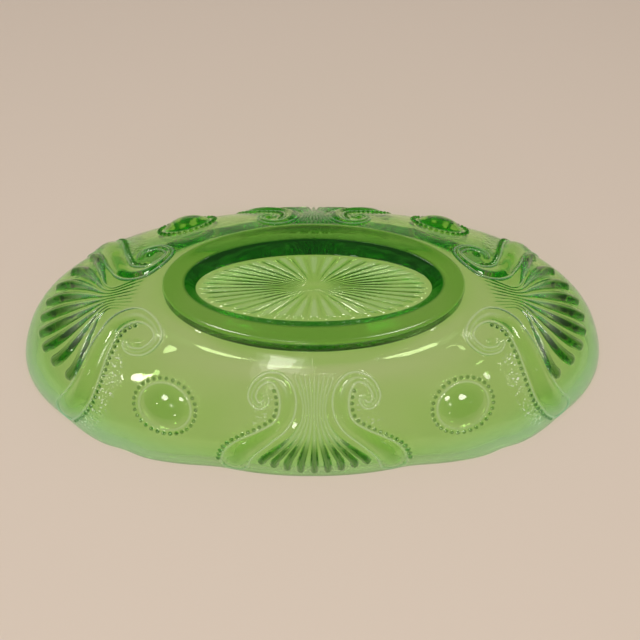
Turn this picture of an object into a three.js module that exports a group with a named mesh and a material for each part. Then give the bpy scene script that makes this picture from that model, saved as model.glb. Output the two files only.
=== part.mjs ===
// Oval footed dish of pressed glass, modelled as it stands upside down: mouth on z = 0, foot up.
// The origin is the centre of the mouth plane, +X runs along the long axis and +Z towards the foot.
// The glass is one pressing. It is divided here, face to face, into the zones of its pattern.
import * as THREE from 'three';
import { mergeVertices } from 'three/addons/utils/BufferGeometryUtils.js';

// Driving dimensions, in mm.
const RIM_HALF_LENGTH = 130;
const RIM_HALF_WIDTH = 64.5;
const FOOT_HALF_LENGTH = 58.8;
const FOOT_HALF_WIDTH = 27.6;
const HEIGHT = 50;
const WALL_HEIGHT = 44;
const WALL_THICKNESS = 4.4;
const RIM_BAND_HEIGHT = 7;
const LIP_ROUND = 1.2;
const SCALLOP_DEPTH = 2;
const RIM_FULLNESS = 2.26;
const BASE_TOP = 44.4;
const BASE_UNDERSIDE = 39.6;
const STAR_RELIEF = 0.5;
const JEWEL_HEIGHT = 3.6;
const FLUTE_RELIEF = 0.8;
const LOBE_RELIEF = 1.2;

// The foot's section from the glass plate out to the wall: distance in from the foot's outline, height.
const BASE_INSET = 12.5;
const FOOT_SECTION = [
  [11.6, 45.6], [8.2, 49.1], [6, HEIGHT], [2, HEIGHT], [0.8, 49.2], [0.2, 47.2],
];

// Pattern layout. Angles are measured round the rim from the long axis, in degrees; depth down the
// wall runs from 0 at the foot to 1 at the mouth.
const BAND_DEPTH = 1 - RIM_BAND_HEIGHT / WALL_HEIGHT;
const JEWEL_ANGLE = 57.7;
const JEWEL_DEPTH = 0.387;
const JEWEL_ANGLE_SPAN = 6.5;
const JEWEL_DEPTH_SPAN = 0.135;
const RIPPLE_START = 0.5;
const FLUTES = 9;
const STAR_RAYS = 40;
const STAR_ROW_SIZES = [0.15, 0.55, 0.9, 1];
const JEWEL_ROW_SIZES = [1, 0.8, 0.45];

// How far each motif reaches to either side of its fan's centre line: depth, angle.
const END_FAN_EDGE = [[0, 9], [0.2, 6.5], [0.35, 15], [0.45, 23], [0.6, 27.5], [0.84, 27]];
const END_SCROLL_EDGE = [[0, 34], [0.17, 38.5], [0.3, 31], [0.43, 38.5], [0.6, 40], [0.84, 36.5]];
const SIDE_FAN_EDGE = [[0, 7], [0.12, 6], [0.28, 2.4], [0.47, 5.5], [0.65, 8.4], [0.84, 8.9]];
const SIDE_SCROLL_EDGE = [[0, 14], [0.2, 16], [0.34, 8.6], [0.47, 12.8], [0.65, 15.3], [0.84, 15.2]];

// Mesh density.
const WALL_ROWS = 8;
const SCROLL_COLUMNS = 4;
const PANEL_COLUMNS = 8;
const PANEL_LOOPS = 3;
const FOOT_COLUMNS = 2 * STAR_RAYS;

const GLASS = { color: 0x6fae3c, roughness: 0.08, metalness: 0, transparent: true, opacity: 0.75 };
const RIM_GLASS = { color: 0x9cc9a6, roughness: 0.2, metalness: 0, transparent: true, opacity: 0.85 };

const rad = THREE.MathUtils.degToRad;
const lerp = THREE.MathUtils.lerp;
const range = (count) => Array.from({ length: count + 1 }, (_, k) => k / count);

// ---- The dish's smooth outer surface ----

// Half length, half width and fullness of the horizontal section at a height.
function section(z) {
  const spread = 1 - (z / WALL_HEIGHT) ** 2;
  return {
    a: lerp(FOOT_HALF_LENGTH, RIM_HALF_LENGTH, spread),
    b: lerp(FOOT_HALF_WIDTH, RIM_HALF_WIDTH, spread),
    n: lerp(2, RIM_FULLNESS, spread),
  };
}

function onOval(a, b, n, angle, z) {
  const power = (value) => Math.sign(value) * Math.abs(value) ** (2 / n);
  return new THREE.Vector3(a * power(Math.cos(angle)), b * power(Math.sin(angle)), z);
}

// Level function whose gradient points out of the wall.
function level(p) {
  const { a, b, n } = section(p.z);
  return Math.abs(p.x / a) ** n + Math.abs(p.y / b) ** n;
}

function outward(p) {
  const step = 0.01;
  const slope = (x, y, z) => {
    const d = new THREE.Vector3(x, y, z).multiplyScalar(step);
    return level(p.clone().add(d)) - level(p.clone().sub(d));
  };
  return new THREE.Vector3(slope(1, 0, 0), slope(0, 1, 0), slope(0, 0, 1)).normalize();
}

// 1 at the crest of a rim scallop and 0 in the notch between two.
function scallop(degrees) {
  const endEdge = edgeAngle(END_SCROLL_EDGE, BAND_DEPTH);
  const sideEdge = 90 - edgeAngle(SIDE_SCROLL_EDGE, BAND_DEPTH);
  const folded = Math.abs(((degrees + 90) % 180 + 180) % 180 - 90);
  if (folded < endEdge) return Math.cos(folded / endEdge * Math.PI / 2);
  if (folded > sideEdge) return Math.cos((90 - folded) / (90 - sideEdge) * Math.PI / 2);
  return Math.sin((folded - endEdge) / (sideEdge - endEdge) * Math.PI);
}

// A point of the outer skin, raised by relief, and the point of the inner skin behind it.
function skin(degrees, depth, relief = 0) {
  const z = WALL_HEIGHT * (1 - depth);
  const { a, b, n } = section(z);
  const smooth = onOval(a, b, n, rad(degrees), z);
  const normal = outward(smooth);
  const ripple = SCALLOP_DEPTH * THREE.MathUtils.smoothstep(depth, RIPPLE_START, 1);
  const wall = smooth.addScaledVector(normal, -ripple * (1 - scallop(degrees)));
  const inner = wall.clone().addScaledVector(normal, -WALL_THICKNESS);
  return { outer: wall.clone().addScaledVector(normal, relief), inner, normal };
}

// Half the angle that a motif spans at a depth, eased between its edge's few points.
function edgeAngle(edge, depth) {
  const last = edge.length - 2;
  let k = 0;
  while (k < last && depth > edge[k + 1][0]) k += 1;
  const [[d0, a0], [d1, a1]] = [edge[k], edge[k + 1]];
  const u = THREE.MathUtils.clamp((depth - d0) / (d1 - d0), 0, 1);
  return lerp(a0, a1, u * u * (3 - 2 * u));
}

// ---- Closed solids from facets ----

function toMesh(name, facets, material) {
  const corners = facets.flatMap(([a, b, c, d]) => (d ? [a, b, c, a, c, d] : [a, b, c]));
  const geometry = new THREE.BufferGeometry().setFromPoints(corners);
  const merged = mergeVertices(geometry, 1e-4);
  merged.computeVertexNormals();
  const mesh = new THREE.Mesh(merged, new THREE.MeshStandardMaterial(material));
  mesh.name = name;
  return mesh;
}

// Facets of a patch of rows, which faces outward when the rows run out from the foot.
function patch(rows) {
  const facets = [];
  for (let j = 0; j + 1 < rows.length; j += 1) {
    for (let i = 0; i + 1 < rows[j].length; i += 1) {
      facets.push([rows[j][i], rows[j + 1][i], rows[j + 1][i + 1], rows[j][i + 1]]);
    }
  }
  return facets;
}

const flipped = (facets) => facets.map((facet) => [facet[0], ...facet.slice(1).reverse()]);

// The cut through the glass along a line of points, the same two triangles from either side.
function cut(outer, inner) {
  const facets = [];
  for (let i = 0; i + 1 < outer.length; i += 1) {
    facets.push([outer[i], outer[i + 1], inner[i + 1], inner[i]]);
  }
  return facets;
}

// The four cut faces round a block of wall.
function blockSides(outer, inner) {
  const column = (rows, i) => rows.map((row) => row.at(i));
  return [
    ...cut(outer[0], inner[0]),
    ...flipped(cut(outer.at(-1), inner.at(-1))),
    ...flipped(cut(column(outer, 0), column(inner, 0))),
    ...cut(column(outer, -1), column(inner, -1)),
  ];
}

// ---- Wall zones: fans, scrolls and jewel panels ----

const FANS = [
  { name: 'right_end', centre: 0, fan: END_FAN_EDGE, scroll: END_SCROLL_EDGE },
  { name: 'back_side', centre: 90, fan: SIDE_FAN_EDGE, scroll: SIDE_SCROLL_EDGE },
  { name: 'left_end', centre: 180, fan: END_FAN_EDGE, scroll: END_SCROLL_EDGE },
  { name: 'front_side', centre: 270, fan: SIDE_FAN_EDGE, scroll: SIDE_SCROLL_EDGE },
];
const CORNERS = ['back_right', 'back_left', 'front_left', 'front_right'];

const wallDepths = range(WALL_ROWS).map((v) => v * BAND_DEPTH);

// A block of wall between two edges given as angles at each depth.
function wallBlock(columns, angleAt, reliefAt) {
  const grid = wallDepths.map((depth) => range(columns).map((u) => {
    const onEdge = u === 0 || u === 1 || depth === 0 || depth === BAND_DEPTH;
    return skin(angleAt(u, depth), depth, onEdge ? 0 : reliefAt(u, depth));
  }));
  const outer = grid.map((row) => row.map((point) => point.outer));
  const inner = grid.map((row) => row.map((point) => point.inner));
  return [...patch(outer), ...flipped(patch(inner)), ...blockSides(outer, inner)];
}

function fan({ name, centre, fan: edge }) {
  const angleAt = (u, depth) => centre + lerp(-1, 1, u) * edgeAngle(edge, depth);
  const reliefAt = (u) => FLUTE_RELIEF * (Math.round(u * FLUTES * 2) % 2);
  return toMesh(`fan_${name}`, wallBlock(FLUTES * 2, angleAt, reliefAt), GLASS);
}

function scroll({ name, centre, fan: nearEdge, scroll: farEdge }, side) {
  const angleAt = (u, depth) => {
    const across = side > 0 ? u : 1 - u;
    return centre + side * lerp(edgeAngle(nearEdge, depth), edgeAngle(farEdge, depth), across);
  };
  const reliefAt = (u, depth) => LOBE_RELIEF * Math.sin(Math.PI * u) * Math.sin(Math.PI * depth);
  const label = `scroll_${name}_${side > 0 ? 'ahead' : 'behind'}`;
  return toMesh(label, wallBlock(SCROLL_COLUMNS, angleAt, reliefAt), GLASS);
}

// The panel's outline in angle and depth, anticlockwise seen from outside, starting at its first corner.
function panelOutline(angleAt) {
  const across = range(PANEL_COLUMNS);
  const down = wallDepths;
  return [
    ...down.slice(0, -1).map((depth) => [angleAt(0, depth), depth]),
    ...across.slice(0, -1).map((u) => [angleAt(u, BAND_DEPTH), BAND_DEPTH]),
    ...down.slice(1).reverse().map((depth) => [angleAt(1, depth), depth]),
    ...across.slice(1).reverse().map((u) => [angleAt(u, 0), 0]),
  ];
}

// Points round the jewel's oval that face the points of an outline, scaled by size.
function jewelLoop(outline, centre, size) {
  return outline.map(([angle, depth]) => {
    const x = (angle - centre) / JEWEL_ANGLE_SPAN;
    const y = (depth - JEWEL_DEPTH) / JEWEL_DEPTH_SPAN;
    const scale = size / Math.hypot(x, y);
    return [centre + x * scale * JEWEL_ANGLE_SPAN, JEWEL_DEPTH + y * scale * JEWEL_DEPTH_SPAN];
  });
}

const closed = (loop) => [...loop, loop[0]];
const onSkin = ([angle, depth], relief = 0) => skin(angle, depth, relief).outer;

// Disc of loops shrinking to one point, the same underneath the jewel and on the panel.
function discRows(outline, centre, heightAt) {
  const rows = JEWEL_ROW_SIZES.map((size) => {
    return closed(jewelLoop(outline, centre, size)).map((at) => onSkin(at, heightAt(size)));
  });
  const middle = onSkin([centre, JEWEL_DEPTH], heightAt(0));
  return [...rows, rows[0].map(() => middle)];
}

const discFacets = (rows) => [
  ...patch(rows.slice(0, -1).reverse()),
  ...rows.at(-2).slice(1).map((point, i) => [rows.at(-1)[0], rows.at(-2)[i], point]),
];

function panelAndJewel(index) {
  const [before, after] = [FANS[index], FANS[(index + 1) % FANS.length]];
  const start = (depth) => before.centre + edgeAngle(before.scroll, depth);
  const end = (depth) => before.centre + 90 - edgeAngle(after.scroll, depth);
  const angleAt = (u, depth) => lerp(start(depth), end(depth), u);
  const beside = index % 2 ? 180 - JEWEL_ANGLE : JEWEL_ANGLE;
  const centre = beside + (index > 1 ? 180 : 0);
  const outline = panelOutline(angleAt);
  const oval = jewelLoop(outline, centre, 1);
  const rings = range(PANEL_LOOPS).map((v) => closed(outline.map(([angle, depth], i) => {
    return [lerp(oval[i][0], angle, v), lerp(oval[i][1], depth, v)];
  })).map((at) => onSkin(at)));
  const flat = discFacets(discRows(outline, centre, () => 0));
  const dome = discFacets(discRows(outline, centre, (size) => JEWEL_HEIGHT * Math.sqrt(1 - size * size)));
  const grid = wallDepths.map((depth) => range(PANEL_COLUMNS).map((u) => skin(angleAt(u, depth), depth)));
  const outer = grid.map((row) => row.map((point) => point.outer));
  const inner = grid.map((row) => row.map((point) => point.inner));
  const panel = [...patch(rings), ...flat, ...flipped(patch(inner)), ...blockSides(outer, inner)];
  return [
    toMesh(`panel_${CORNERS[index]}`, panel, GLASS),
    toMesh(`jewel_${CORNERS[index]}`, [...dome, ...flipped(flat)], GLASS),
  ];
}

// ---- Rim band ----

// Column angles of the zone between two angles, as the wall above it has them.
const columnsBetween = (from, to, columns) => range(columns).map((u) => lerp(from, to, u));

function fanColumns({ centre, fan: nearEdge, scroll: farEdge }, depth) {
  const near = edgeAngle(nearEdge, depth);
  const far = edgeAngle(farEdge, depth);
  return [
    ...columnsBetween(centre - far, centre - near, SCROLL_COLUMNS).slice(0, -1),
    ...columnsBetween(centre - near, centre + near, FLUTES * 2),
    ...columnsBetween(centre + near, centre + far, SCROLL_COLUMNS).slice(1),
  ];
}

function panelColumns(index, depth) {
  const from = FANS[index].centre + edgeAngle(FANS[index].scroll, depth);
  const to = FANS[index].centre + 90 - edgeAngle(FANS[(index + 1) % FANS.length].scroll, depth);
  return columnsBetween(from, to, PANEL_COLUMNS);
}

function rimLobe(name, angles) {
  const lipDepth = 1 - LIP_ROUND / WALL_HEIGHT;
  const depths = [BAND_DEPTH, (BAND_DEPTH + lipDepth) / 2, lipDepth];
  const rowAt = (depth, face) => angles.map((angle) => skin(angle, depth)[face]);
  const lipRow = (inset) => angles.map((angle) => {
    const { outer, normal } = skin(angle, 1);
    return outer.addScaledVector(normal, -inset).setZ(0);
  });
  const outer = [...depths.map((depth) => rowAt(depth, 'outer')), lipRow(LIP_ROUND)];
  const inner = [...depths.map((depth) => rowAt(depth, 'inner')), lipRow(WALL_THICKNESS - LIP_ROUND)];
  const facets = [...patch(outer), ...flipped(patch(inner)), ...blockSides(outer, inner)];
  return toMesh(name, facets, RIM_GLASS);
}

// ---- Foot ring and base ----

function footRow(inset, z) {
  const [a, b] = [FOOT_HALF_LENGTH - inset, FOOT_HALF_WIDTH - inset];
  return range(FOOT_COLUMNS).map((u) => onOval(a, b, 2, 2 * Math.PI * (u === 1 ? 0 : u), z));
}

// Facets between two rows that go once round at different spacings.
function zipRows(inside, insideTurns, outside, outsideTurns) {
  const facets = [];
  let [i, j] = [0, 0];
  while (i + 1 < inside.length || j + 1 < outside.length) {
    const nextInside = insideTurns[i + 1] ?? Infinity;
    const nextOutside = outsideTurns[j + 1] ?? Infinity;
    if (nextInside <= nextOutside) {
      facets.push([inside[i], outside[j], inside[i + 1]]);
      i += 1;
    } else {
      facets.push([inside[i], outside[j], outside[j + 1]]);
      j += 1;
    }
  }
  return facets;
}

function footRing() {
  const steps = FOOT_SECTION.map(([inset, z]) => footRow(inset, z));
  const outer = [footRow(BASE_INSET, BASE_TOP), ...steps];
  const base = footRow(BASE_INSET, BASE_UNDERSIDE);
  const turns = range(FOOT_COLUMNS).map((u) => 360 * u);
  const around = FANS.flatMap((zone, index) => [
    ...fanColumns(zone, 0).slice(0, -1),
    ...panelColumns(index, 0).slice(0, -1),
  ]);
  const first = around.findIndex((angle) => angle >= 0);
  const wallTurns = [...around.slice(first), ...around.slice(0, first).map((angle) => angle + 360)];
  wallTurns.push(360);
  const wall = wallTurns.map((angle) => skin(angle === 360 ? 0 : angle, 0));
  const wallOuter = wall.map((point) => point.outer);
  const wallInner = wall.map((point) => point.inner);
  const facets = [
    ...patch(outer),
    ...zipRows(outer.at(-1), turns, wallOuter, wallTurns),
    ...flipped(zipRows(base, turns, wallInner, wallTurns)),
    ...flipped(cut(wallOuter, wallInner)),
    ...cut(outer[0], base),
  ];
  return toMesh('foot_ring', facets, GLASS);
}

// A row of the star: its columns lie on a ray and between two rays by turns, and its edge is flat.
function starRow(size) {
  const relief = size < 1 ? STAR_RELIEF : 0;
  const [a, b] = [(FOOT_HALF_LENGTH - BASE_INSET) * size, (FOOT_HALF_WIDTH - BASE_INSET) * size];
  return range(FOOT_COLUMNS).map((u) => {
    const angle = 2 * Math.PI * (u === 1 ? 0 : u);
    return onOval(a, b, 2, angle, BASE_TOP + relief * Math.cos(STAR_RAYS * angle));
  });
}

function basePanel() {
  const rows = STAR_ROW_SIZES.map(starRow);
  const under = footRow(BASE_INSET, BASE_UNDERSIDE);
  const top = new THREE.Vector3(0, 0, BASE_TOP);
  const bottom = new THREE.Vector3(0, 0, BASE_UNDERSIDE);
  const facets = [
    ...patch(rows),
    ...rows[0].slice(1).map((point, i) => [top, rows[0][i], point]),
    ...under.slice(1).map((point, i) => [bottom, point, under[i]]),
    ...flipped(cut(rows.at(-1), under)),
  ];
  return toMesh('base_star_panel', facets, GLASS);
}

const dish = new THREE.Group();
dish.add(basePanel(), footRing());
for (const [index, zone] of FANS.entries()) {
  dish.add(fan(zone), scroll(zone, 1), scroll(zone, -1), ...panelAndJewel(index));
  dish.add(rimLobe(`rim_${zone.name}`, fanColumns(zone, BAND_DEPTH)));
  dish.add(rimLobe(`rim_${CORNERS[index]}`, panelColumns(index, BAND_DEPTH)));
}

export default dish;
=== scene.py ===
# The looks of an oval footed dish of pressed uranium glass, lying mouth down. The dish is one
# pressing, so it is one seamless closed mesh of glass that stands for every zone of the frame.
# Shapes are worked out in millimetres and turned into metres when the mesh is made.
import math

import bpy
import numpy as np
from mathutils import Matrix, Vector


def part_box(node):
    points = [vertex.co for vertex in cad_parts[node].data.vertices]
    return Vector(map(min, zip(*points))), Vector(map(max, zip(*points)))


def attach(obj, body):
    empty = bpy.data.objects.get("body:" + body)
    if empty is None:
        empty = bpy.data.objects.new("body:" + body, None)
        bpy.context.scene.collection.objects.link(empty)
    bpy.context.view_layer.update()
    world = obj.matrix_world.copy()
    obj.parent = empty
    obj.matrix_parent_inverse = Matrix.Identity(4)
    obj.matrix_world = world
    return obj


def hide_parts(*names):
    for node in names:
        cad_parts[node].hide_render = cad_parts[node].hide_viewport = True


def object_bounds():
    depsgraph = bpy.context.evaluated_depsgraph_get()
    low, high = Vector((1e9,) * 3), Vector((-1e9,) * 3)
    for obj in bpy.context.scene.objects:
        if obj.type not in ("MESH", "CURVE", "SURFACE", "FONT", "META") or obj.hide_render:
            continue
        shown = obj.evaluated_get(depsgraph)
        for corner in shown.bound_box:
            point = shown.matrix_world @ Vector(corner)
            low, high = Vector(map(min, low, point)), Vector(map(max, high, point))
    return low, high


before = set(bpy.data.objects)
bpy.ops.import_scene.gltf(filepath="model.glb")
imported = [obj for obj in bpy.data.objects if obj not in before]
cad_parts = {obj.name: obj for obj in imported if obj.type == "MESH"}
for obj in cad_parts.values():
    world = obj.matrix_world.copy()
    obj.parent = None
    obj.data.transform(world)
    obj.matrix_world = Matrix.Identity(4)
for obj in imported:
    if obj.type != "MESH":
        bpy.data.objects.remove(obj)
cad_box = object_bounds()

MM = 0.001


# ---- Sizes, from the frame ----

def box_mm(node):
    """Lowest and highest corner of a frame node, in mm."""
    low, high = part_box(node)
    return np.array(low) / MM, np.array(high) / MM


DISH_HIGH = np.array(cad_box[1]) / MM
FOOT_HIGH = box_mm("foot_ring")[1]
PLATE_LOW, PLATE_HIGH = box_mm("base_star_panel")

RIM_HALF = DISH_HIGH[:2]
FOOT_HALF = FOOT_HIGH[:2]
WALL_HEIGHT = box_mm("fan_front_side")[1][2]
PLATE_HALF = PLATE_HIGH[:2]
PLATE_UNDERSIDE = PLATE_LOW[2]
PLATE_DROP = 0.5
PLATE_TOP = PLATE_HIGH[2] - PLATE_DROP

FOOT_FULLNESS = 2.0
RIM_FULLNESS = 2.26
WALL_THICKNESS = 4.4
SCALLOP_DEPTH = 2.4
SCALLOP_WALL_DEPTHS = (0.5, 1)
NOTCH_SOFTNESS = 0.02
SCALLOP_NOTCHES = (36.5, 55.0, 74.8)
MIDDLE_DIP = 0.38
MIDDLE_DIP_WIDTH = 3.5
LIP_RADIUS = WALL_THICKNESS / 2
FILLET_HEIGHT = 0.4
FILLET_REACH = 0.04
FILLET_POWER = 2.5

# The foot ring's section, from its outer edge in to the plate: distance in from the foot's outline at
# the ends and at the sides, then height.
RING_SECTION = [
    (0.2, 0.2, 47.2), (0.4, 0.4, 48.6), (1.1, 1.1, 49.6), (2.1, 2.0, 50.0), (3.9, 3.4, 50.0),
    (5.5, 4.8, 49.8), (7.3, 6.4, 49.5), (9.0, 8.0, 49.2), (9.35, 8.35, 48.9), (10.4, 9.6, 47.6),
    (11.5, 11.1, 46.0), (12.3, 12.3, 44.7),
]

# The inside of the bowl's bottom: size against the foot's outline, and how far below the plate's
# underside. The wall's own inside ends at INNER_TOP_DEPTH, and this carries on from there.
UNDER_SECTION = [
    (1.2, 2.4), (1.1, 0.6), (1.04, 0.1), (0.96, 0), (0.84, 0), (0.68, 0), (0.5, 0), (0.3, 0), (0, 0),
]
INNER_TOP_DEPTH = 0.2


# ---- Pattern, in the quarter of the dish where x and y are positive ----

# A station of a raised band is (plan offset from its fan's centre line in mm, depth, half width, height).
# Depth down the wall runs from 0 at the foot to 1 at the mouth.
SIDE_SCROLL = [
    (18.6, 0.205, 0.5, 0.4), (18.1, 0.236, 0.7, 0.6), (19.9, 0.264, 0.9, 0.9), (22.0, 0.257, 1.0, 1.0),
    (23.3, 0.218, 1.1, 1.05), (22.4, 0.174, 1.15, 1.1), (20.2, 0.136, 1.25, 1.1),
    (17.0, 0.113, 1.45, 1.15), (13.9, 0.117, 1.9, 1.2),
    (11.5, 0.148, 2.4, 1.3), (10.1, 0.196, 2.7, 1.4), (9.9, 0.258, 2.7, 1.5), (11.0, 0.329, 2.5, 1.5),
    (13.8, 0.398, 2.5, 1.6), (18.2, 0.457, 2.9, 1.8), (22.1, 0.508, 3.5, 2.0), (25.9, 0.561, 4.2, 2.1),
    (28.6, 0.612, 4.8, 2.1), (30.4, 0.665, 5.1, 2.0), (31.8, 0.76, 5.1, 1.4),
]
END_SCROLL = [
    (18.6, 0.17, 0.5, 0.4), (20.3, 0.192, 0.7, 0.6), (22.8, 0.2, 0.9, 0.9), (23.9, 0.178, 1.0, 1.0),
    (22.7, 0.143, 1.1, 1.0), (20.2, 0.104, 1.2, 1.0), (17.4, 0.08, 1.3, 1.0), (14.2, 0.07, 1.5, 1.1),
    (11.4, 0.077, 1.9, 1.2),
    (9.9, 0.099, 2.5, 1.3), (10.4, 0.138, 3.0, 1.4), (12.8, 0.183, 3.4, 1.5), (16.6, 0.228, 3.8, 1.6),
    (20.6, 0.279, 4.2, 1.8), (25.1, 0.339, 4.6, 2.0), (29.6, 0.41, 4.9, 2.1), (33.5, 0.486, 5.1, 2.1),
    (36.1, 0.556, 5.2, 2.0), (38.2, 0.647, 5.1, 1.7), (39.1, 0.738, 4.8, 1.3),
]

# How much lower than its depths say the side's pattern sits at the foot. This fades out at the mouth.
SIDE_DROP = 0.014

# The round eye inside a curl: plan offset and depth.
SIDE_EYE = (20.3, 0.224)
END_EYE = (20.4, 0.161)
EYE_RADIUS = 1.7
EYE_HEIGHT = 1.1

# The thin mouldings on either side of a scroll's band.
MOULDING_GAP = 0.35
MOULDING_HALF_WIDTH = 0.6
MOULDING_HEIGHT = 0.8

# Sharpness of a raised section: lower is fuller.
BAND_SHARPNESS = 1.3
SCROLL_SHARPNESS = 1.1
MOULDING_SHARPNESS = 1
BEAD_SHARPNESS = 0.8
JEWEL_SHARPNESS = 0.75
RAY_SHARPNESS = 0.75

# A fan is a sheaf of ribs that narrows to a waist and opens into flutes: depth, plan distance between
# neighbours, half width and height. A flute's tip is at its own depth.
SIDE_SHEAF = [
    (0.094, 1.85, 0.6, 0.35), (0.14, 1.55, 0.65, 0.7), (0.201, 1.2, 0.6, 0.75), (0.273, 1.05, 0.55, 0.75),
    (0.345, 1.2, 0.6, 0.8), (0.416, 1.7, 0.8, 1.0), (0.488, 2.5, 1.1, 1.4), (0.59, 3.9, 1.6, 1.7),
    (0.693, 5.1, 1.9, 1.7), (0.795, 5.4, 1.9, 1.4),
]
SIDE_TIPS = [0.812, 0.805, 0.776, 0.742, 0.705]
END_SHEAF = [
    (0.072, 2.0, 0.7, 0.1), (0.102, 1.7, 0.75, 0.25), (0.138, 1.4, 0.65, 0.3), (0.178, 1.15, 0.55, 0.3),
    (0.218, 1.7, 0.8, 0.5), (0.264, 3.1, 1.15, 0.9), (0.324, 4.6, 1.9, 1.5), (0.395, 6.0, 2.6, 1.9),
    (0.465, 6.9, 2.9, 1.9), (0.546, 7.3, 2.7, 1.5),
]
END_TIPS = [0.555, 0.548, 0.528, 0.502, 0.48]

BEAD_RADIUS = 1.0
BEAD_HEIGHT = 1.0
BEAD_PITCH = 2.5
BEAD_GAP = 1.6
BEADS_FROM_STATION = 10
FLUTE_SAMPLES = 16

JEWEL_CENTRE = (57.5, 43.1)
JEWEL_HALF = (10.3, 9.2)
JEWEL_HEIGHT = 3.6
JEWEL_BEADS = 30
JEWEL_BEAD_RING = 1.23
JEWEL_EDGE = 1.03
JEWEL_EDGE_WIDTH = 0.06

STAR_RAYS = 40
STAR_RELIEF = 1.1
STAR_TIPS = (0.86, 0.97)
STAR_RISE = (0.04, 0.5)
BUTTON_HEIGHT = 0.6
BUTTON_SIZE = 0.1
SEAM_HALF_WIDTH = 0.35
SEAM_HEIGHT = 0.16

# Painted shade: how much deeper green is painted where the pressing is thick or steep, for the dark that
# refraction gives there, from 0 to 1, and the wall depths and pattern heights in mm over which it sets in.
LOBE_SHADE = 0.28
LOBE_HEIGHTS = (1.2, 2.1)
LOBE_DEPTHS = (0.35, 0.6)
FLUTE_SHADE = 0.85
FLUTE_HEIGHTS = (0.1, 0.9)
SIDE_FLUTE_DEPTHS = (0.45, 0.6)
END_FLUTE_DEPTHS = (0.28, 0.44)
BEAD_SHADE = 0.75
BEAD_HEIGHTS = (0.2, 0.7)
STAR_SHADE = 0.18
STAR_SHADE_SIZES = (0.25, 0.6)
STAR_SHADE_SHARE = 0.6
BRIM_SHADE = 0.45
BRIM_DEPTHS = (0.84, 1.0)
BRIM_FADE = (55, 110)
LIP_SHADE = 0.45
JEWEL_SHADE = 0.22

# The same painted shade for the foot ring, at places counted in RING_SECTION steps from the plate's edge
# out.
# The recess inside the ring gets the darkest painted shade, for the dark that refraction gives there.
RECESS_SHADE = 1.0
RECESS_START = (0, 0.3)
RECESS_EDGE = (4.9, 5.7)
RING_SHADE = 0.54
EDGE_SHADE = 0.1
EDGE_REACH = 1.3

# Painted highlights: how much the thin crests are painted pale against the clear glass, from 0 to 1.
MOULDING_SHINE = 0.6
MOULDING_CREST = (0.25, 1)
RIDGE_SHINE = 0.4
RIDGE_SHARE = 0.4
RIDGE_STATIONS = np.array([8, 11])
RIB_SHINE = 0.4
RIB_HEIGHTS = (0.2, 0.6)
STAR_SHINE = 0.32
STAR_CREST = (0.7, 1)
JEWEL_SHINE = 0.4

# Hammered ground beside a scroll's beads: its first bead, the one after its last, and its share.
END_STIPPLE = (8, 20, 0.9)
SIDE_STIPPLE = (2, 8, 0.3)
STIPPLE_REACH = (3.5, 8.5)
STIPPLE_FROM_JEWEL = (1.3, 1.4)
STIPPLE_HEIGHTS = (0.01, 0.1)


# ---- The smooth surface ----

def section(depth):
    """Height, half length, half width and fullness of the wall's horizontal section at a depth."""
    spread = 1 - (1 - depth) ** 2
    half_length = FOOT_HALF[0] + (RIM_HALF[0] - FOOT_HALF[0]) * spread
    half_width = FOOT_HALF[1] + (RIM_HALF[1] - FOOT_HALF[1]) * spread
    fullness = FOOT_FULLNESS + (RIM_FULLNESS - FOOT_FULLNESS) * spread
    return WALL_HEIGHT * (1 - depth), half_length, half_width, fullness


def stack(x, y, z):
    return np.stack(np.broadcast_arrays(x, y, z), axis=-1)


def unit(vectors):
    return vectors / np.linalg.norm(vectors, axis=-1, keepdims=True)


def oval(turn, half_length, half_width, fullness, z):
    """Points of a level oval at angles round it, in radians."""
    def power(value):
        return np.sign(value) * np.abs(value) ** (2 / fullness)
    return stack(half_length * power(np.cos(turn)), half_width * power(np.sin(turn)), z)


def wall_normal(points):
    """Outward direction of the smooth wall at points on it."""
    def level(p):
        _, a, b, n = section(1 - p[..., 2] / WALL_HEIGHT)
        return np.abs(p[..., 0] / a) ** n + np.abs(p[..., 1] / b) ** n
    step = 0.01
    slopes = [level(points + step * axis) - level(points - step * axis) for axis in np.eye(3)]
    return unit(np.stack(slopes, axis=-1))


def on_side(offset, depth):
    """Point of the wall's long side at a distance along x from its middle."""
    z, a, b, n = section(depth)
    return stack(offset, b * (1 - np.abs(offset / a) ** n) ** (1 / n), z)


def on_end(offset, depth):
    """Point of the wall's end at a distance along y from its middle."""
    z, a, b, n = section(depth)
    return stack(a * (1 - np.abs(offset / b) ** n) ** (1 / n), offset, z)


def on_side_pattern(offset, depth):
    """Point of the long side's pattern, which sits a little lower than its depths say near the foot."""
    return on_side(offset, depth + SIDE_DROP * (1 - depth))


def smoothstep(low, high, value):
    share = np.clip((value - low) / (high - low), 0, 1)
    return share * share * (3 - 2 * share)


def spline(points, places):
    """Catmull-Rom curve through points (along axis 0) at places from 0, the first, to 1, the last."""
    points = np.asarray(points, float)
    padded = np.concatenate([[2 * points[0] - points[1]], points, [2 * points[-1] - points[-2]]])
    along = np.clip(np.asarray(places, float), 0, 1) * (len(points) - 1)
    first = np.minimum(along.astype(int), len(points) - 2)
    u = (along - first).reshape((-1,) + (1,) * (points.ndim - 1))
    p0, p1, p2, p3 = (padded[first + k] for k in range(4))
    return p1 + 0.5 * u * (p2 - p0 + u * (2 * p0 - 5 * p1 + 4 * p2 - p3 + u * (3 * (p1 - p2) + p3 - p0)))


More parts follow.
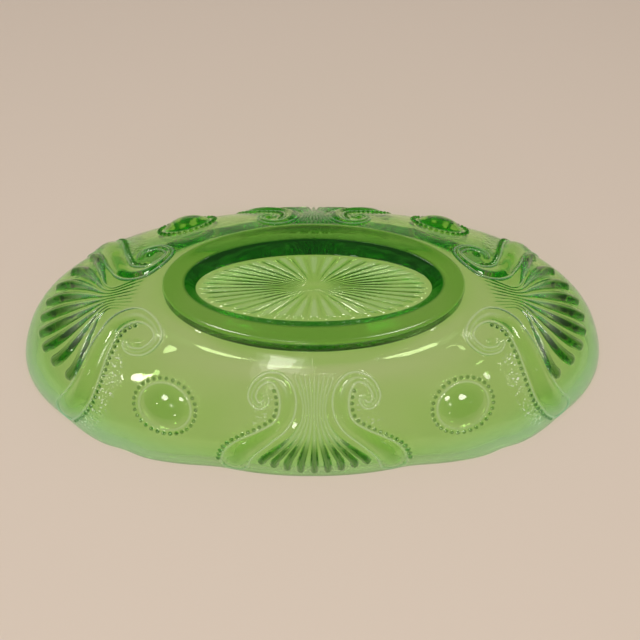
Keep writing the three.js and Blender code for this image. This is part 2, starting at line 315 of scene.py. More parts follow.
def scallop(turn):
    """About 1 at the crest of a rim scallop, falling to a soft low in the notch between two."""
    degrees = np.degrees(np.arctan2(np.abs(np.sin(turn)), np.abs(np.cos(turn))))
    end, middle, side = SCALLOP_NOTCHES
    at_end = np.cos(degrees / end * math.pi / 2)
    dip = MIDDLE_DIP * np.exp(-((degrees - middle) / MIDDLE_DIP_WIDTH) ** 2)
    at_corner = np.sin((degrees - end) / (side - end) * math.pi) - dip
    at_side = np.cos((90 - degrees) / (90 - side) * math.pi / 2)
    crest = np.where(degrees < end, at_end, np.where(degrees > side, at_side, at_corner))
    return np.sqrt(crest ** 2 + NOTCH_SOFTNESS)


# ---- Raised pattern: each function gives heights over points of the quarter ----

SAMPLES_PER_STATION = 24
CHUNK = 20000


def sweep_line(stations, place):
    """Centres, half widths and heights along a band, sampled closely."""
    count = (len(stations) - 1) * SAMPLES_PER_STATION + 1
    offset, depth, half_width, height = spline(stations, np.linspace(0, 1, count)).T
    return place(offset, depth), half_width, height


def across_line(points, line):
    """For each point: its distance across the line as a share of the half width there, and the index of the
    nearest sample."""
    centres, half_widths, _ = line
    tangents = unit(np.gradient(centres, axis=0))
    shares, places = [], []
    for part in np.array_split(points, max(1, len(points) // CHUNK)):
        away = part[:, None] - centres[None]
        distance = np.linalg.norm(away, axis=2)
        nearest = np.argmin(distance / half_widths, axis=1)
        rows = np.arange(len(part))
        step = away[rows, nearest]
        along = np.einsum("ij,ij->i", step, tangents[nearest])
        inside = (nearest > 0) & (nearest < len(centres) - 1)
        across = np.sqrt(np.maximum(distance[rows, nearest] ** 2 - np.where(inside, along, 0) ** 2, 0))
        shares.append(across / half_widths[nearest])
        places.append(nearest)
    return np.concatenate(shares), np.concatenate(places)


def near(points, centres, reach):
    """Which points lie within reach of the box round some centres."""
    return np.all((points > centres.min(0) - reach) & (points < centres.max(0) + reach), axis=1)


def rounded(share, sharpness=BAND_SHARPNESS):
    """Section of a raised band: 1 on its centre line and 0 from its edge out."""
    return np.maximum(1 - share ** 2, 0) ** sharpness


def band(points, line):
    """A smooth swelling band with round ends."""
    heights = np.zeros(len(points))
    close = near(points, line[0], line[1].max())
    share, place = across_line(points[close], line)
    heights[close] = rounded(share) * line[2][place]
    return heights


def scroll(points, line):
    """A C-scroll, which is a swelling band between two thin mouldings: the heights of band and
    mouldings, and where the ridge of its curl is."""
    band_height, moulding_height, ridge = np.zeros((3, len(points)))
    close = near(points, line[0], line[1].max() + MOULDING_GAP + MOULDING_HALF_WIDTH)
    share, place = across_line(points[close], line)
    from_edge = (share - 1) * line[1][place]
    moulding = rounded((from_edge - MOULDING_GAP) / MOULDING_HALF_WIDTH, MOULDING_SHARPNESS)
    moulding = moulding * smoothstep(0, SAMPLES_PER_STATION, place)
    band_height[close] = rounded(share, SCROLL_SHARPNESS) * line[2][place]
    moulding_height[close] = MOULDING_HEIGHT * moulding
    faded = smoothstep(*(RIDGE_STATIONS * SAMPLES_PER_STATION), place)
    ridge[close] = rounded(share / RIDGE_SHARE) * (1 - faded)
    return band_height, moulding_height, ridge


def domes(points, centres, radius, height):
    """Round beads at centres."""
    heights = np.zeros(len(points))
    close = near(points, centres, radius)
    apart = np.linalg.norm(points[close][:, None] - centres[None], axis=2).min(axis=1)
    heights[close] = height * rounded(apart / radius, BEAD_SHARPNESS)
    return heights


def bead_row(line, inner_side):
    """Centres of the beads that follow the inside of a scroll's curve."""
    centres, half_widths, _ = line
    across = np.cross(wall_normal(centres), unit(np.gradient(centres, axis=0)))
    row = centres + inner_side * across * (half_widths + BEAD_GAP)[:, None]
    row = row[(BEADS_FROM_STATION - 1) * SAMPLES_PER_STATION:]
    length = np.concatenate([[0], np.cumsum(np.linalg.norm(np.diff(row, axis=0), axis=1))])
    places = np.linspace(0, length[-1], round(length[-1] / BEAD_PITCH) + 1)
    return np.stack([np.interp(places, length, row[:, axis]) for axis in range(3)], axis=1)


def jewel_frame():
    """Centre of the jewel on the wall, and its two directions along the surface."""
    x, y = JEWEL_CENTRE
    low, high = 0.0, 1.0
    for _ in range(40):
        depth = (low + high) / 2
        _, a, b, n = section(depth)
        outside = (x / a) ** n + (y / b) ** n > 1
        low, high = (depth, high) if outside else (low, depth)
    centre = np.array([x, y, WALL_HEIGHT * (1 - depth)])
    normal = wall_normal(centre)
    level = unit(np.cross([0, 0, 1], normal))
    return centre, level, np.cross(normal, level)


def jewel_place(points):
    """Plan of points in the jewel's own oval: its radius is 1 at the jewel's edge."""
    centre, level, up = jewel_frame()
    away = points - centre
    return np.hypot(away @ level / JEWEL_HALF[0], away @ up / JEWEL_HALF[1])


def jewel_beads():
    centre, level, up = jewel_frame()
    turns = np.linspace(0, 2 * math.pi, JEWEL_BEADS, endpoint=False)[:, None]
    across = np.cos(turns) * level * JEWEL_HALF[0]
    down = np.sin(turns) * up * JEWEL_HALF[1]
    flat = centre + (across + down) * JEWEL_BEAD_RING
    return onto_wall(flat)


def onto_wall(points):
    """Moves points near the wall onto it, level by level."""
    for _ in range(3):
        _, a, b, n = section(1 - points[:, 2] / WALL_HEIGHT)
        level = (np.abs(points[:, 0] / a) ** n + np.abs(points[:, 1] / b) ** n) ** (1 / n)
        normal = wall_normal(points)
        out = unit(points * [1, 1, 0])
        gap = np.linalg.norm(points[:, :2], axis=1) * (1 - 1 / level)
        points = points - normal * (gap * np.einsum("ij,ij->i", out, normal))[:, None]
    return points


def flute_lines(sheaf, tips, place):
    """Centre lines of the flutes of half a fan, from its middle out."""
    table = np.array(sheaf)
    for index, tip in enumerate(tips):
        depths = np.linspace(table[0, 0], tip, FLUTE_SAMPLES)
        places = np.interp(depths, table[:, 0], np.linspace(0, 1, len(table)))
        pitch, half_width, height = spline(table[:, 1:], places).T
        stations = np.stack([pitch * index, depths, half_width, height], axis=1)
        yield sweep_line(stations, place)


def relief(points, depths):
    """Height of the raised pattern over points of the quarter's wall, its painted shade (a deeper green),
    and its painted highlights on the thin crests."""
    side_scroll = sweep_line(SIDE_SCROLL, on_side_pattern)
    end_scroll = sweep_line(END_SCROLL, on_end)
    layers, painted_shade, painted_highlights = [], [], []
    for line in (side_scroll, end_scroll):
        band_height, moulding, ridge = scroll(points, line)
        layers += [band_height, moulding]
        # Painted shade on the high lobes; painted highlights on the mouldings and along the curl's ridge.
        lobe = smoothstep(*LOBE_HEIGHTS, band_height)
        painted_shade.append(lobe * smoothstep(*LOBE_DEPTHS, depths) * LOBE_SHADE)
        painted_highlights.append(smoothstep(*MOULDING_CREST, moulding / MOULDING_HEIGHT) * MOULDING_SHINE)
        painted_highlights.append(ridge * RIDGE_SHINE)
    for sheaf, tips, place, flute_depths in ((SIDE_SHEAF, SIDE_TIPS, on_side_pattern, SIDE_FLUTE_DEPTHS),
                                             (END_SHEAF, END_TIPS, on_end, END_FLUTE_DEPTHS)):
        for line in flute_lines(sheaf, tips, place):
            layers.append(band(points, line))
            # Painted shade on the outer flutes, painted highlights on the ribs nearer the foot.
            flute = smoothstep(*flute_depths, depths)
            painted_shade.append(smoothstep(*FLUTE_HEIGHTS, layers[-1]) * flute * FLUTE_SHADE)
            painted_highlights.append(smoothstep(*RIB_HEIGHTS, layers[-1]) * (1 - flute) * RIB_SHINE)
    beads = np.concatenate([bead_row(side_scroll, -1), bead_row(end_scroll, 1), jewel_beads()])
    layers.append(domes(points, beads, BEAD_RADIUS, BEAD_HEIGHT))
    # Painted shade on the beads.
    painted_shade.append(smoothstep(*BEAD_HEIGHTS, layers[-1]) * BEAD_SHADE)
    for eye, place in ((SIDE_EYE, on_side_pattern), (END_EYE, on_end)):
        centre = place(*np.array(eye)[:, None])
        layers.append(domes(points, centre, EYE_RADIUS, EYE_HEIGHT))
    layers.append(JEWEL_HEIGHT * rounded(jewel_place(points), JEWEL_SHARPNESS))
    # Painted shade on the jewel's dome, and a painted highlight round its edge.
    painted_shade.append(smoothstep(0, JEWEL_HEIGHT, layers[-1]) * JEWEL_SHADE)
    painted_highlights.append(rounded((jewel_place(points) - JEWEL_EDGE) / JEWEL_EDGE_WIDTH) * JEWEL_SHINE)
    seam = SEAM_HEIGHT * rounded(points[:, 0] / SEAM_HALF_WIDTH) * (depths < SIDE_SHEAF[0][0])
    # Painted shade along the brim of the long sides, fading out towards the ends.
    brim = smoothstep(*BRIM_DEPTHS, depths) * (1 - smoothstep(*BRIM_FADE, points[:, 0]))
    painted_shade.append(brim * BRIM_SHADE)
    return np.maximum.reduce(layers) + seam, np.maximum.reduce(painted_shade), np.maximum.reduce(painted_highlights)


def stipple(points):
    """Share of hammered ground at points of the quarter's wall: strongest beside the scrolls' beads."""
    ground = np.zeros(len(points))
    end_row = bead_row(sweep_line(END_SCROLL, on_end), 1)
    side_row = bead_row(sweep_line(SIDE_SCROLL, on_side_pattern), -1)
    for row, (first, last, share) in ((end_row, END_STIPPLE), (side_row, SIDE_STIPPLE)):
        apart = np.linalg.norm(points[:, None] - row[None, first:last], axis=2).min(axis=1)
        ground = np.maximum(ground, share * (1 - smoothstep(*STIPPLE_REACH, apart)))
    return ground * smoothstep(*STIPPLE_FROM_JEWEL, jewel_place(points))


def star(turn, size):
    """Height of the star on the plate. size is 0 at the centre and 1 at the plate's edge."""
    ray = turn * STAR_RAYS / (2 * math.pi)
    across = 2 * np.abs(ray - np.round(ray))
    tip = np.maximum(size - STAR_TIPS[0], 0) / (STAR_TIPS[1] - STAR_TIPS[0])
    rays = rounded(np.hypot(across, tip), RAY_SHARPNESS) * smoothstep(*STAR_RISE, size)
    button = BUTTON_HEIGHT * rounded(size / BUTTON_SIZE, BEAD_SHARPNESS)
    return STAR_RELIEF * (rays + button)


# ---- The lattice: rows run from the plate's centre over the foot, down the wall and back inside ----

QUARTER_COLUMNS = 424
PLATE_ROWS = 64
RING_ROWS = 64
WALL_ROWS = 240
LIP_ROWS = 32
INNER_ROWS = 64
UNDER_ROWS = 40
COLUMN_DEPTH = 0.45
TURN_SAMPLES = 4001
DEPTH_SAMPLES = 2001


def column_turns():
    """Angles round the oval that space the columns evenly at one depth of the wall."""
    turns = np.linspace(0, math.pi / 2, TURN_SAMPLES)
    points = oval(turns, *section(COLUMN_DEPTH)[1:], 0)
    length = np.concatenate([[0], np.cumsum(np.linalg.norm(np.diff(points, axis=0), axis=1))])
    places = np.linspace(0, length[-1], QUARTER_COLUMNS + 1)
    quarter = np.interp(places, length, turns)
    half = np.concatenate([quarter, math.pi - quarter[-2::-1]])
    return np.concatenate([half, 2 * math.pi - half[-2:0:-1]])


def wall_depths():
    """Depths that space the wall's rows evenly, on average over its ends and its sides. The last is
    where the lip's round starts."""
    depths = np.linspace(0, 1 - LIP_RADIUS / WALL_HEIGHT, DEPTH_SAMPLES)
    ends = on_end(np.zeros_like(depths), depths)
    sides = on_side(np.zeros_like(depths), depths)
    end_steps, side_steps = (np.linalg.norm(np.diff(run, axis=0), axis=1) for run in (ends, sides))
    length = np.concatenate([[0], np.cumsum(end_steps + side_steps)])
    return np.interp(np.linspace(0, length[-1], WALL_ROWS + 1), length, depths)


def mirrored(quarter):
    """A quarter's values, whose columns run from +x to +y, repeated round the whole dish."""
    half = np.concatenate([quarter, quarter[:, -2::-1]], axis=1)
    return np.concatenate([half, half[:, -2:0:-1]], axis=1)


def wall_rows(turns, depths):
    """The wall's outer skin, its inner skin, and the looks of the outer one."""
    height, half_length, half_width, fullness = (value[:, None] for value in section(depths))
    smooth = oval(turns[None], half_length, half_width, fullness, height)
    normal = wall_normal(smooth)
    quarter = smooth[:, :QUARTER_COLUMNS + 1].reshape(-1, 3)
    grid_shape = (len(depths), QUARTER_COLUMNS + 1)
    row_depths = np.repeat(depths, QUARTER_COLUMNS + 1)
    raised, painted_shade, crest = (mirrored(part.reshape(grid_shape)) for part in relief(quarter, row_depths))
    ground = mirrored(stipple(quarter).reshape(grid_shape)) * (1 - smoothstep(*STIPPLE_HEIGHTS, raised))
    ripple = SCALLOP_DEPTH * smoothstep(*SCALLOP_WALL_DEPTHS, depths)[:, None] * (1 - scallop(turns))[None]
    fillet = FILLET_HEIGHT * np.maximum(1 - depths / FILLET_REACH, 0)[:, None] ** FILLET_POWER
    outer = smooth + normal * (raised + fillet - ripple)[..., None]
    inner = smooth - normal * (WALL_THICKNESS + ripple)[..., None]
    return outer, inner, {"hammered": ground, "painted_shade": painted_shade, "crest": crest}


def plate_rows(turns):
    """The plate with its star, its painted shade between the rays and its painted highlights on their
    crests.
    """
    size = np.linspace(0, 1, PLATE_ROWS + 1)[:, None]
    raised = star(turns[None], size)
    share = np.clip(raised / STAR_RELIEF, 0, 1)
    within = smoothstep(*STAR_SHADE_SIZES, size) * (size < STAR_TIPS[0])
    looks = {"painted_shade": (1 - smoothstep(0, STAR_SHADE_SHARE, share)) * within * STAR_SHADE,
             "crest": smoothstep(*STAR_CREST, share) * STAR_SHINE}
    along = PLATE_HALF[0] * size * np.cos(turns)
    across = PLATE_HALF[1] * size * np.sin(turns)
    points = stack(along, across, PLATE_TOP + raised)
    return points, looks


def ring_rows(turns, plate_edge, wall):
    """From the plate's edge over the foot ring to the top of the wall, and the painted shade in each row."""
    def hoop(end_inset, side_inset, z):
        return oval(turns, FOOT_HALF[0] - end_inset, FOOT_HALF[1] - side_inset, FOOT_FULLNESS, z)
    hoops = [hoop(*at) for at in RING_SECTION[::-1]]
    places = np.linspace(0, 1, RING_ROWS + 1)
    along = places * (len(hoops) + 1)
    recess = smoothstep(*RECESS_START, along) * (1 - smoothstep(*RECESS_EDGE, along))
    edge = rounded((along - len(hoops) + 1) / EDGE_REACH)
    painted_shade = RING_SHADE + (RECESS_SHADE - RING_SHADE) * recess + (EDGE_SHADE - RING_SHADE) * edge
    return spline([plate_edge, *hoops, wall[0]], places), painted_shade


def lip_rows(outer, inner):
    middle = (outer + inner) / 2
    swing = np.linspace(0, math.pi, LIP_ROWS + 1)[:, None, None]
    down = np.zeros_like(middle)
    down[:, 2] = -middle[:, 2]
    return middle + np.cos(swing) * (outer - middle) + np.sin(swing) * down


def under_rows(turns, wall):
    """The inside of the bowl's bottom, from the wall to its centre."""
    hoops = [oval(turns, FOOT_HALF[0] * size, FOOT_HALF[1] * size, FOOT_FULLNESS, PLATE_UNDERSIDE - drop)
             for size, drop in UNDER_SECTION]
    return spline([wall, *hoops], np.linspace(0, 1, UNDER_ROWS + 1))


def lattice():
    """All points of the glass skin, and three shares that set its looks at each: hammered ground,
    painted shade and painted highlights on crests."""
    turns = column_turns()
    depths = wall_depths()
    outer, inner, wall_looks = wall_rows(turns, depths)
    plate, plate_looks = plate_rows(turns)
    ring, ring_shade = ring_rows(turns, plate[-1], outer)
    top = np.searchsorted(depths, INNER_TOP_DEPTH)
    picked = np.linspace(len(inner) - 1, top, INNER_ROWS + 1).round().astype(int)
    parts = [plate, ring[1:], outer[1:], lip_rows(outer[-1], inner[-1])[1:], inner[picked][1:]]
    parts.append(under_rows(turns, inner[top])[1:])
    points = np.concatenate(parts)
    looks = {name: np.zeros(points.shape[:2]) for name in ("hammered", "painted_shade", "crest")}
    wall_top = PLATE_ROWS + RING_ROWS
    lip = wall_top + WALL_ROWS + 1
    for first, part in ((0, plate_looks), (wall_top, wall_looks)):
        for name, share in part.items():
            looks[name][first:first + len(share)] = share
    # Painted shade over the foot ring.
    looks["painted_shade"][PLATE_ROWS + 1:wall_top] = ring_shade[1:-1, None]
    # Painted shade round the lip, where the glass meets the floor.
    looks["painted_shade"][lip:lip + LIP_ROWS] = LIP_SHADE * np.sin(np.linspace(0, math.pi, LIP_ROWS))[:, None]
    return points, looks


# ---- The mesh: cells of the lattice, joined where the glass is smooth ----

CELL_SIZES = (8, 4, 2)
FLATNESS = 0.05


def bend(points):
    """How far the skin turns away from flat at each lattice point, along its own normal."""
    wrapped = np.concatenate([points[:, -1:], points, points[:, :1]], axis=1)
    along = (wrapped[:, 2:] - wrapped[:, :-2]) / 2
    curve_along = wrapped[:, 2:] - 2 * points + wrapped[:, :-2]
    down = np.gradient(points, axis=0)
    curve_down = np.zeros_like(points)
    curve_down[1:-1] = points[2:] - 2 * points[1:-1] + points[:-2]
    normal = np.cross(along, down)
    normal /= np.maximum(np.linalg.norm(normal, axis=2, keepdims=True), 1e-9)
    curves = (np.abs(np.einsum("ijk,ijk->ij", curve, normal)) for curve in (curve_along, curve_down))
    return np.maximum(*curves)


def finest_sizes(rows):
    """The smallest cell that each row of cells may have: only the wall's pattern needs the finest."""
    finest = np.full(rows, 4)
    finest[:PLATE_ROWS + RING_ROWS] = 2
    finest[PLATE_ROWS + RING_ROWS:][:WALL_ROWS] = 1
    return finest


def cell_leaves(points):
    """The cells of a quadtree that keeps each cell's skin flat to within FLATNESS, in mm, down to the
    finest size allowed: arrays of rows and columns, with their size."""
    turn = bend(points)
    wrapped = np.concatenate([turn, turn[:, :1]], axis=1)
    corners = [wrapped[:-1, :-1], wrapped[1:, :-1], wrapped[:-1, 1:], wrapped[1:, 1:]]
    cells = np.maximum.reduce(corners)
    rows, columns = cells.shape
    leaves, open_cells = [], np.ones((rows // CELL_SIZES[0], columns // CELL_SIZES[0]), bool)
    finest = finest_sizes(rows)
    for size in CELL_SIZES:
        blocks = cells.reshape(rows // size, size, columns // size, size).max(axis=(1, 3))
        enough = (finest[::size] >= size)[:, None]
        flat = open_cells & (enough | (blocks * size ** 2 / 8 < FLATNESS))
        row, column = np.nonzero(flat)
        leaves.append((row * size, column * size, size))
        open_cells = np.repeat(np.repeat(open_cells & ~flat, 2, axis=0), 2, axis=1)
    row, column = np.nonzero(open_cells)
    leaves.append((row, column, 1))
    return leaves


def edge_steps(size):
    """Lattice steps round a cell's edge, in order."""
    side = np.arange(size)
    rows = np.concatenate([side, side * 0 + size, size - side, side * 0])
    columns = np.concatenate([side * 0, side, side * 0 + size, size - side])
    return rows, columns


def lattice_faces(points):
    """Quads for the plain cells and a fan of triangles for each cell with a finer neighbour."""
    leaves = cell_leaves(points)
    rows, columns = points.shape[:2]
    used = np.zeros((rows, columns), bool)
    for row, column, size in leaves:
        for step_row, step_column in ((0, 0), (0, size), (size, 0), (size, size)):
            used[row + step_row, (column + step_column) % columns] = True
    quads, triangles = [], []
    for row, column, size in leaves:
        edge_row, edge_column = edge_steps(size)
        at_row = row[:, None] + edge_row
        at_column = (column[:, None] + edge_column) % columns
        index = at_row * columns + at_column
        kept = used[at_row, at_column]
        plain = kept.sum(axis=1) == 4
        quads.append(index[plain][:, ::size])
        index, kept = index[~plain], kept[~plain]
        if not len(index):
            continue
        middle_column = (column[~plain] + size // 2) % columns
        middle = (row[~plain] + size // 2) * columns + middle_column
        following = index[:, 0].copy()
        for step in range(4 * size - 1, -1, -1):
            here = kept[:, step]
            triangles.append(np.stack([middle[here], index[here, step], following[here]], axis=1))
            following = np.where(here, index[:, step], following)
    return np.concatenate(quads), np.concatenate(triangles)


def merge_poles(faces, rows, columns):
    """Makes the first and last row one point each."""
    row = faces // columns
    faces = np.where(row == 0, 0, faces)
    return np.where(row == rows - 1, (rows - 1) * columns, faces)


def glass_faces(points):
    """Vertex rows of the mesh's quads and triangles as flat lists, with degenerate ones mended."""
    rows, columns = points.shape[:2]
    quads, triangles = (merge_poles(part, rows, columns) for part in lattice_faces(points))
    same = quads == np.roll(quads, -1, axis=1)
    pinched = same.any(axis=1)
    halves = quads[pinched]
    keep = ~same[pinched]
    triangles = np.concatenate([triangles, halves[keep].reshape(-1, 3)])
    distinct = (triangles != np.roll(triangles, -1, axis=1)).all(axis=1)
    return quads[~pinched], triangles[distinct]


def glass_mesh(name):
    points, looks = lattice()
    quads, triangles = glass_faces(points)
    used, flat = np.unique(np.concatenate([quads.ravel(), triangles.ravel()]), return_inverse=True)
    mesh = bpy.data.meshes.new(name)
    vertices = points.reshape(-1, 3)[used] * MM
    mesh.vertices.add(len(vertices))
    mesh.vertices.foreach_set("co", vertices.astype(np.float32).ravel())
    mesh.loops.add(len(flat))
    mesh.loops.foreach_set("vertex_index", flat.ravel().astype(np.int32))
    sides = np.concatenate([np.full(len(quads), 4), np.full(len(triangles), 3)])
    mesh.polygons.add(len(sides))
    mesh.polygons.foreach_set("loop_start", (np.cumsum(sides) - sides).astype(np.int32))
    mesh.polygons.foreach_set("use_smooth", np.ones(len(sides), bool))
    mesh.update(calc_edges=True)
    for share_name, share in looks.items():
        attribute = mesh.attributes.new(share_name, "FLOAT", "POINT")
        attribute.data.foreach_set("value", share.ravel()[used].astype(np.float32))
    return mesh


# ---- Materials ----

def add(nodes, kind, **values):
    """A shader node, with its properties and its inputs set by name."""
    node = nodes.new(kind)
    for key, value in values.items():
        name = key.replace("_", " ")
        if name in node.inputs:
            node.inputs[name].default_value = value
        else:
            setattr(node, key, value)
    return node


def noise(nodes, links, place, scale, detail=2.0):
    node = add(nodes, "ShaderNodeTexNoise", Scale=scale, Detail=detail)
    links.new(place.outputs["Object"], node.inputs["Vector"])
    return node.outputs["Fac"]


def ramp(nodes, links, value, low, high, at_low, at_high):
    """A smooth change of a value from at_low to at_high."""
    node = add(nodes, "ShaderNodeMapRange", interpolation_type="SMOOTHSTEP")
    for name, number in (("From Min", low), ("From Max", high), ("To Min", at_low), ("To Max", at_high)):
        node.inputs[name].default_value = number
    links.new(value, node.inputs["Value"])
    return node.outputs["Result"]


def math_node(nodes, links, operation, *values):
    node = add(nodes, "ShaderNodeMath", operation=operation)
    for socket, value in zip(node.inputs, values):
        if isinstance(value, (int, float)):
            socket.default_value = value
        else:
            links.new(value, socket)
    return node.outputs[0]


GLASS_INDEX = 1.5
GLASS_ABSORPTION = (0.52, 0.90, 0.05, 1.0)
GLASS_DENSITY = 124.0
GLASS_ROUGHNESS = 0.04
# Colour of the painted shade, and how much the painted highlights pale the glass.
PAINTED_SHADE_GREEN = (0.004, 0.11, 0.008, 1.0)
CREST_HIGHLIGHT_WEIGHT = 0.28
THROUGH_TINT = (0.94, 0.96, 0.94, 1.0)

# The milky rim reaches up to OPAL_TOP in metres, unevenly, and is strongest at the two ends.
OPAL_COLOUR = (0.50, 0.80, 0.62, 1.0)
OPAL_TOP = 0.02
OPAL_PATCH_SCALE = 25.0
OPAL_PATCH_SHIFT = -0.006
OPAL_ALONG = (0.03, 0.11)
OPAL_AT_MIDDLE = 0.45
OPAL_CLEARNESS = 0.7
OPAL_ROUGHNESS = 0.08

# Worn top of the foot ring: its heights in metres.
WEAR_HEIGHTS = (0.0496, 0.05)
WEAR_ROUGHNESS = 0.12

# Hammered ground has painted glints and a fine grain. The wave is a slow unevenness of the whole skin.
# Painted glints: pale specks on the hammered ground stand for its sparkle.
GLINT_SCALE = 1100.0
GLINT_LEVELS = (0.6, 0.68)
GLINT_SHINE = 2.4
GRAIN_SCALE = 900.0
GRAIN_DEPTH = 0.0006
WAVE_SCALE = 55.0
WAVE_DEPTH = 0.001
WAVE_STRENGTH = 0.6

FLOOR_COLOUR = (0.67, 0.575, 0.50, 1.0)
FLOOR_ROUGHNESS = 0.9


def glass_material():
    material = bpy.data.materials.new("uranium_glass")
    material.use_nodes = True
    nodes, links = material.node_tree.nodes, material.node_tree.links
    nodes.clear()
    place = add(nodes, "ShaderNodeTexCoord")
    split = add(nodes, "ShaderNodeSeparateXYZ")
    links.new(place.outputs["Object"], split.inputs["Vector"])
    height = split.outputs["Z"]
    hammered = add(nodes, "ShaderNodeAttribute", attribute_name="hammered").outputs["Fac"]

    patches = noise(nodes, links, place, OPAL_PATCH_SCALE)
    opal_edge = math_node(nodes, links, "MULTIPLY_ADD", patches, OPAL_PATCH_SHIFT, height)
    opal = ramp(nodes, links, opal_edge, 0.0, OPAL_TOP, 1.0, 0.0)
    along = math_node(nodes, links, "ABSOLUTE", split.outputs["X"])
    towards_end = ramp(nodes, links, along, *OPAL_ALONG, OPAL_AT_MIDDLE, 1.0)
    opal = math_node(nodes, links, "MULTIPLY", opal, towards_end)
    colour = add(nodes, "ShaderNodeMix", data_type="RGBA")
    colour.inputs["A"].default_value = (1, 1, 1, 1)
    colour.inputs["B"].default_value = OPAL_COLOUR
    links.new(opal, colour.inputs["Factor"])

    # Painted shade: the colour is darkened towards a deep green by the shade share, for the dark that
    # refraction gives in the relief and the foot.
    painted_shade = add(nodes, "ShaderNodeAttribute", attribute_name="painted_shade").outputs["Fac"]
    green = add(nodes, "ShaderNodeMix", data_type="RGBA", blend_type="MULTIPLY")
    links.new(painted_shade, green.inputs["Factor"])
    links.new(colour.outputs["Result"], green.inputs["A"])
    green.inputs["B"].default_value = PAINTED_SHADE_GREEN

    glass = add(nodes, "ShaderNodeBsdfPrincipled", IOR=GLASS_INDEX)
    links.new(green.outputs["Result"], glass.inputs["Base Color"])
    # Painted highlights: the crests, and glints on the hammered ground, lose some transmission and show
    # pale.
    crest = add(nodes, "ShaderNodeAttribute", attribute_name="crest").outputs["Fac"]
    clearness = ramp(nodes, links, opal, 0.0, 1.0, 1.0, OPAL_CLEARNESS)
    glint = noise(nodes, links, place, GLINT_SCALE, 1.0)
    glint = ramp(nodes, links, glint, *GLINT_LEVELS, 0.0, GLINT_SHINE)
    pale = math_node(nodes, links, "MULTIPLY_ADD", glint, hammered, crest)
    clearness = math_node(nodes, links, "MULTIPLY_ADD", pale, -CREST_HIGHLIGHT_WEIGHT, clearness)
    links.new(clearness, glass.inputs["Transmission Weight"])

    wear = ramp(nodes, links, height, *WEAR_HEIGHTS, 0.0, WEAR_ROUGHNESS)
    rough = math_node(nodes, links, "MULTIPLY_ADD", opal, OPAL_ROUGHNESS, GLASS_ROUGHNESS)
    rough = math_node(nodes, links, "ADD", rough, wear)
    links.new(rough, glass.inputs["Roughness"])

    grain = noise(nodes, links, place, GRAIN_SCALE, 1.0)
    grain = math_node(nodes, links, "MULTIPLY", grain, hammered)
    stippled = add(nodes, "ShaderNodeBump", Strength=1.0, Distance=GRAIN_DEPTH)
    links.new(grain, stippled.inputs["Height"])
    wavy = add(nodes, "ShaderNodeBump", Strength=WAVE_STRENGTH, Distance=WAVE_DEPTH)
    links.new(noise(nodes, links, place, WAVE_SCALE, 1.5), wavy.inputs["Height"])
    links.new(stippled.outputs["Normal"], wavy.inputs["Normal"])
    links.new(wavy.outputs["Normal"], glass.inputs["Normal"])

    # Shadow and diffuse rays pass straight through, so that the floor under the glass stays lit.
    light = add(nodes, "ShaderNodeLightPath")
    clear = add(nodes, "ShaderNodeBsdfTransparent", Color=THROUGH_TINT)
    shown = glass.outputs["BSDF"]
    for ray in ("Is Diffuse Ray", "Is Shadow Ray"):
        mixed = add(nodes, "ShaderNodeMixShader")
        links.new(light.outputs[ray], mixed.inputs["Fac"])
        links.new(shown, mixed.inputs[1])
        links.new(clear.outputs["BSDF"], mixed.inputs[2])
        shown = mixed.outputs["Shader"]
    depth = add(nodes, "ShaderNodeVolumeAbsorption", Color=GLASS_ABSORPTION, Density=GLASS_DENSITY)
    out = add(nodes, "ShaderNodeOutputMaterial")
    links.new(shown, out.inputs["Surface"])
    links.new(depth.outputs["Volume"], out.inputs["Volume"])
    return material


def floor_material():
    material = bpy.data.materials.new("pale_floor")
    material.use_nodes = True
    surface = material.node_tree.nodes["Principled BSDF"]
    surface.inputs["Base Color"].default_value = FLOOR_COLOUR
    surface.inputs["Roughness"].default_value = FLOOR_ROUGHNESS
    return material


# ---- The dish ----

def make_object(name, mesh, material):
    made = bpy.data.objects.new(name, mesh)
    bpy.context.scene.collection.objects.link(made)
    mesh.materials.append(material)
    return made


dish = make_object("pressed_glass_dish", glass_mesh("pressed_glass_dish"), glass_material())
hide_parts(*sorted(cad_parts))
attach(dish, "root")


# ---- Floor, light and camera ----

FLOOR_HALF = 4.0
SKY_COLOUR = (1.0, 0.96, 0.92)
SKY_STRENGTH = 0.14
LAMP_COLOUR = (1.0, 0.95, 0.88)

# A lamp's name, azimuth and elevation in degrees, distance and size in metres, and power in watts.
# The three in front are one lamp that is brighter towards its middle.
LAMPS = [
    ("ceiling_left", -55, 62, 1.6, 0.5, 11.2),
    ("ceiling_right", 55, 62, 1.6, 0.5, 10.6),
    ("lamp_front_0", -12, 48, 1.5, 0.42, 0.5),
    ("lamp_front_1", -12, 48, 1.49, 0.28, 0.4),
    ("lamp_front_2", -12, 48, 1.48, 0.15, 0.35),
    ("lamp_left", -56, 33, 1.4, 0.09, 0.4),
    ("lamp_right", 57, 34, 1.4, 0.09, 0.2),
    ("lamp_low", -4, 18, 1.4, 0.12, 0.55),
]

MAX_BOUNCES = 40
GLOSSY_BOUNCES = 24


def make_floor(half):
    mesh = bpy.data.meshes.new("floor")
    corners = [(-half, -half, 0), (half, -half, 0), (half, half, 0), (-half, half, 0)]
    mesh.from_pydata(corners, [], [(0, 1, 2, 3)])
    make_object("floor", mesh, floor_material())


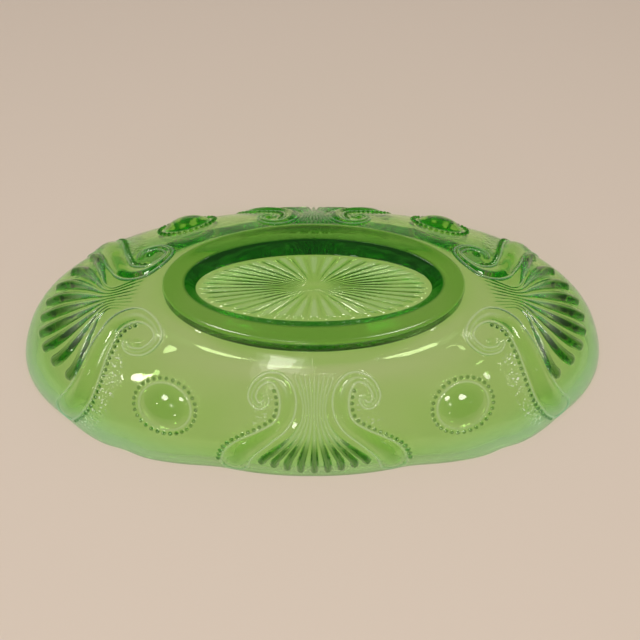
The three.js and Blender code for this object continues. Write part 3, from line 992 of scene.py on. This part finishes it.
def make_light(name, azimuth, elevation, distance, size, power):
    """A soft round lamp that faces the dish. Azimuth 0 is in front of it (-Y) and 90 to its right."""
    lamp = bpy.data.lights.new(name, "AREA")
    lamp.shape = "DISK"
    lamp.size = size
    lamp.energy = power
    lamp.color = LAMP_COLOUR
    made = bpy.data.objects.new(name, lamp)
    bpy.context.scene.collection.objects.link(made)
    turn, lift = math.radians(azimuth), math.radians(elevation)
    away = Vector((math.sin(turn) * math.cos(lift), -math.cos(turn) * math.cos(lift), math.sin(lift)))
    made.location = away * distance
    made.rotation_mode = "QUATERNION"
    made.rotation_quaternion = away.to_track_quat("Z", "Y")


def make_world(colour, strength):
    world = bpy.data.worlds.new("studio")
    world.use_nodes = True
    background = world.node_tree.nodes["Background"]
    background.inputs["Color"].default_value = (*colour, 1.0)
    background.inputs["Strength"].default_value = strength
    bpy.context.scene.world = world


CAMERA_LENS = 31.5
CAMERA_DISTANCE = 0.263
CAMERA_ELEVATION = 62.9
CAMERA_TARGET = Vector((0.0026, 0.0082, 0.0))
CAMERA_TURN = -1.47
CAMERA_ROLL = 1.2


def make_camera():
    data = bpy.data.cameras.new("camera")
    data.sensor_width = 36.0
    data.lens = CAMERA_LENS
    data.clip_start = 0.01
    camera = bpy.data.objects.new("camera", data)
    bpy.context.scene.collection.objects.link(camera)
    lift = math.radians(CAMERA_ELEVATION)
    forward = Vector((0, math.cos(lift), -math.sin(lift)))
    turn = Matrix.Rotation(math.radians(CAMERA_TURN), 4, "Z")
    tilt = Matrix.Rotation(math.radians(90 - CAMERA_ELEVATION), 4, "X")
    roll = Matrix.Rotation(math.radians(CAMERA_ROLL), 4, "Z")
    camera.matrix_world = turn @ Matrix.Translation(CAMERA_TARGET - forward * CAMERA_DISTANCE) @ tilt @ roll
    bpy.context.scene.camera = camera


make_floor(FLOOR_HALF)
make_world(SKY_COLOUR, SKY_STRENGTH)
for lamp in LAMPS:
    make_light(*lamp)
make_camera()
scene = bpy.context.scene
scene.view_settings.view_transform = "Standard"
scene.cycles.max_bounces = MAX_BOUNCES
scene.cycles.transmission_bounces = MAX_BOUNCES
scene.cycles.glossy_bounces = GLOSSY_BOUNCES
scene.cycles.transparent_max_bounces = GLOSSY_BOUNCES
